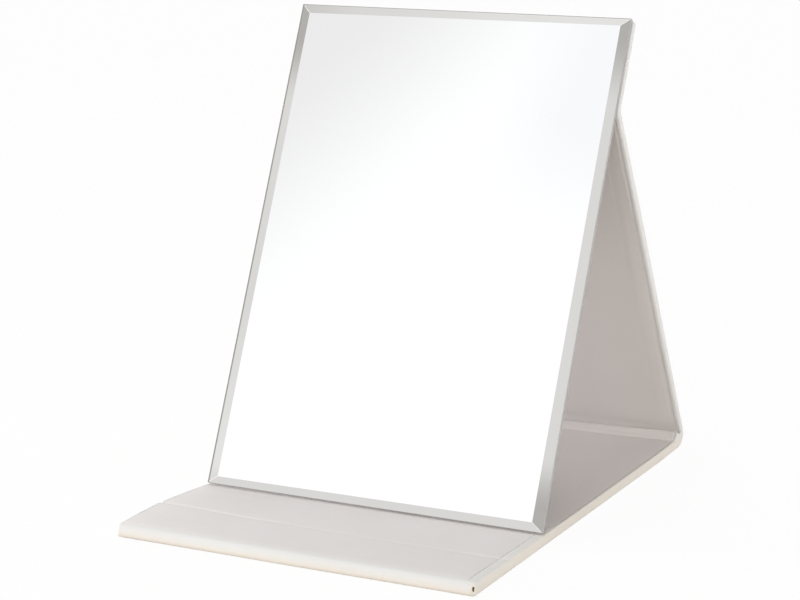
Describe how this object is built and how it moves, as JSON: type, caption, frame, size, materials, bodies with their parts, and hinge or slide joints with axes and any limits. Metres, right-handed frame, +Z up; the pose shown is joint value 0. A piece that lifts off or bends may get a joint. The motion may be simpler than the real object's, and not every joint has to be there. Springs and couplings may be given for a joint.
{
  "type": "folding vanity mirror",
  "caption": "Folding vanity mirror: a bevelled rectangular glass on a white leatherette cover whose base, strut and mount fold on living hinges.",
  "frame": {"origin": "middle of the footprint, on the table", "axes": "+X across the width, glass faces -Y, +Z up"},
  "size_m": [0.2, 0.3142, 0.2635],
  "materials": {
    "leatherette": "satin",
    "lining": "matt",
    "greyboard": "matt",
    "foam": "matt",
    "tape": "matt",
    "glass": "polished",
    "silver": "polished",
    "backing": "matt"
  },
  "bodies": {
    "base": {"base_outer_skin": "leatherette", "base_front_board": "greyboard", "base_middle_board": "greyboard", "base_rear_board": "greyboard", "base_padding": "foam", "base_liner": "lining"},
    "spine": {"spine_outer_skin": "leatherette", "spine_board": "greyboard", "spine_liner": "lining"},
    "strut": {"strut_outer_skin": "leatherette", "strut_board": "greyboard", "strut_liner": "lining"},
    "mirror": {"mount_outer_skin": "leatherette", "mount_board": "greyboard", "mount_liner": "lining", "mount_tape_left": "tape", "mount_tape_centre": "tape", "mount_tape_right": "tape", "mirror_backing_film": "backing", "mirror_silver_coat": "silver", "mirror_glass": "glass"}
  },
  "joints": [
    {"name": "spine_fold", "type": "hinge", "parent": "base", "child": "spine", "pos_m": [0, 0.15689, 0.0003], "axis": [-1, 0, 0], "range_deg": [0, 98]},
    {"name": "strut_fold", "type": "hinge", "parent": "spine", "child": "strut", "pos_m": [0, 0.15494, 0.01416], "axis": [-1, 0, 0], "range_deg": [-5.86, 24.2]},
    {"name": "mirror_swing", "type": "hinge", "parent": "strut", "child": "mirror", "pos_m": [0, 0.02854, 0.2149], "axis": [1, 0, 0], "range_deg": [-13.4, 55.4]}
  ],
  "couplings": [
    {"joint": "strut_fold", "follows": "mirror_swing", "ratio": 0.4368}
  ]
}
